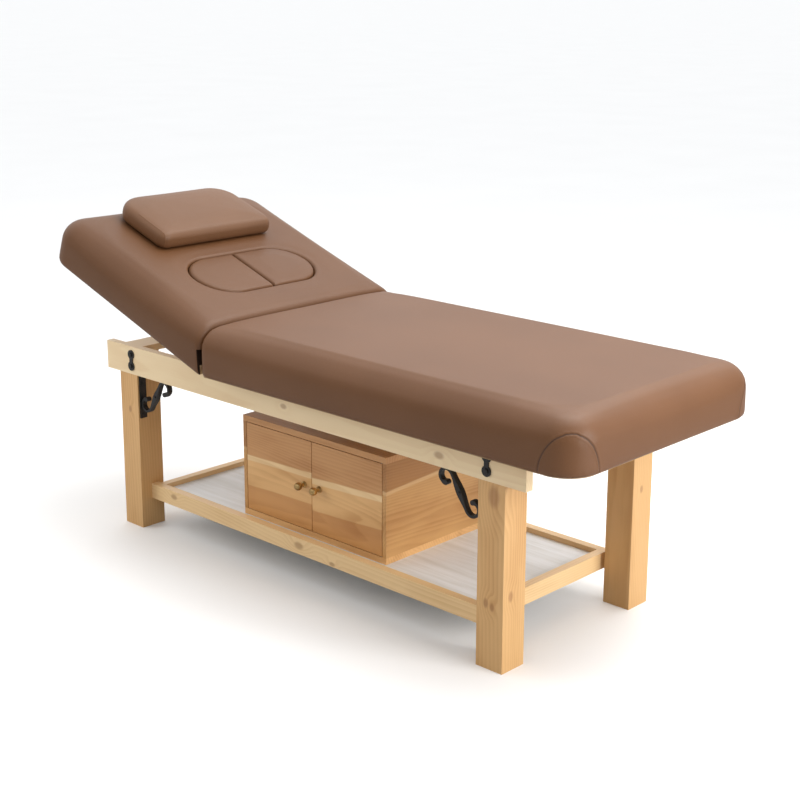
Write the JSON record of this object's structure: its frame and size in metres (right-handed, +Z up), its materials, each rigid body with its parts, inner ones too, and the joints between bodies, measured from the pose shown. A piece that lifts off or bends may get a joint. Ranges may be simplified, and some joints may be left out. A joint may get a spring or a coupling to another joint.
{
  "type": "spa bed",
  "caption": "Wooden spa and massage bed with a tilting padded backrest, a lift-off pillow, split removable plugs, a low shelf and a two-door cabinet under the seat.",
  "frame": {"origin": "on the floor, under the middle of the bed's length as stored with the backrest raised, and on its centre line", "axes": "+X along the bed from the head end to the foot end, +Y from the cabinet's door side to the other side, +Z up"},
  "size_m": [1.8162, 0.706, 0.8868],
  "materials": {
    "leg_pine": "satin",
    "pale_pine": "satin",
    "rail_pine": "satin",
    "shelf_laminate": "satin",
    "dowel_beech": "matte",
    "black_iron": "satin",
    "plywood": "matte",
    "padding": "satin",
    "pillow_padding": "satin",
    "zinc_steel": "satin",
    "friction_fibre": "matte",
    "cabinet_oak": "satin",
    "old_brass": "satin"
  },
  "bodies": {
    "frame": {"leg_head_front": "leg_pine", "leg_head_back": "leg_pine", "leg_foot_front": "leg_pine", "leg_foot_back": "leg_pine", "side_rail_front": "pale_pine", "side_rail_back": "pale_pine", "head_rail": "pale_pine", "foot_rail": "pale_pine", "bearer_hinge": "pale_pine", "bearer_middle": "pale_pine", "lower_rail_front": "rail_pine", "lower_rail_back": "rail_pine", "lower_rail_head": "rail_pine", "lower_rail_foot": "rail_pine", "shelf_board": "shelf_laminate", "shelf_cleats": "rail_pine", "frame_dowels": "dowel_beech", "strap_plates": "black_iron", "strap_bolts": "black_iron", "scroll_head_front": "black_iron", "scroll_head_back": "black_iron", "scroll_foot_front": "black_iron", "scroll_foot_back": "black_iron", "bracket_screws": "black_iron", "seat_board": "plywood", "seat_mattress": "padding", "hinge_fixed_arm_front": "zinc_steel", "hinge_fixed_arm_back": "zinc_steel", "hinge_pins": "zinc_steel", "hinge_washers": "friction_fibre", "hinge_nuts": "zinc_steel", "hinge_frame_screws": "zinc_steel", "cabinet_top": "cabinet_oak", "cabinet_bottom": "cabinet_oak", "cabinet_side_left": "cabinet_oak", "cabinet_side_right": "cabinet_oak", "cabinet_back": "cabinet_oak", "cabinet_dowels": "dowel_beech", "cabinet_catches": "zinc_steel"},
    "backrest": {"backrest_board": "plywood", "backrest_mattress": "padding", "batten_front": "rail_pine", "batten_back": "rail_pine", "backrest_screws": "zinc_steel", "hinge_moving_arm_front": "zinc_steel", "hinge_moving_arm_back": "zinc_steel"},
    "plug_front": {"plug_front": "padding"},
    "plug_back": {"plug_back": "padding"},
    "pillow": {"pillow": "pillow_padding"},
    "door_left": {"door_left": "cabinet_oak", "door_pivots_left": "zinc_steel", "knob_left": "old_brass", "knob_screw_left": "zinc_steel", "strike_left": "zinc_steel"},
    "door_right": {"door_right": "cabinet_oak", "door_pivots_right": "zinc_steel", "knob_right": "old_brass", "knob_screw_right": "zinc_steel", "strike_right": "zinc_steel"}
  },
  "joints": [
    {"name": "backrest_tilt", "type": "hinge", "parent": "frame", "child": "backrest", "pos_m": [-0.25886, 0, 0.5383], "axis": [0, 1, 0], "range_deg": [-19.2, 25.8]},
    {"name": "plug_front_lift", "type": "slide", "parent": "backrest", "child": "plug_front", "axis": [0.3289, 0, 0.9444], "range_m": [0, 0.16]},
    {"name": "plug_back_lift", "type": "slide", "parent": "backrest", "child": "plug_back", "axis": [0.3289, 0, 0.9444], "range_m": [0, 0.16]},
    {"name": "pillow_lift", "type": "slide", "parent": "backrest", "child": "pillow", "axis": [0.3289, 0, 0.9444], "range_m": [0, 0.15]},
    {"name": "door_left_swing", "type": "hinge", "parent": "frame", "child": "door_left", "pos_m": [-0.26336, -0.187, 0.2445], "axis": [0, 0, -1], "range_deg": [0, 105]},
    {"name": "door_right_swing", "type": "hinge", "parent": "frame", "child": "door_right", "pos_m": [0.21764, -0.187, 0.2445], "axis": [0, 0, 1], "range_deg": [0, 105]}
  ]
}
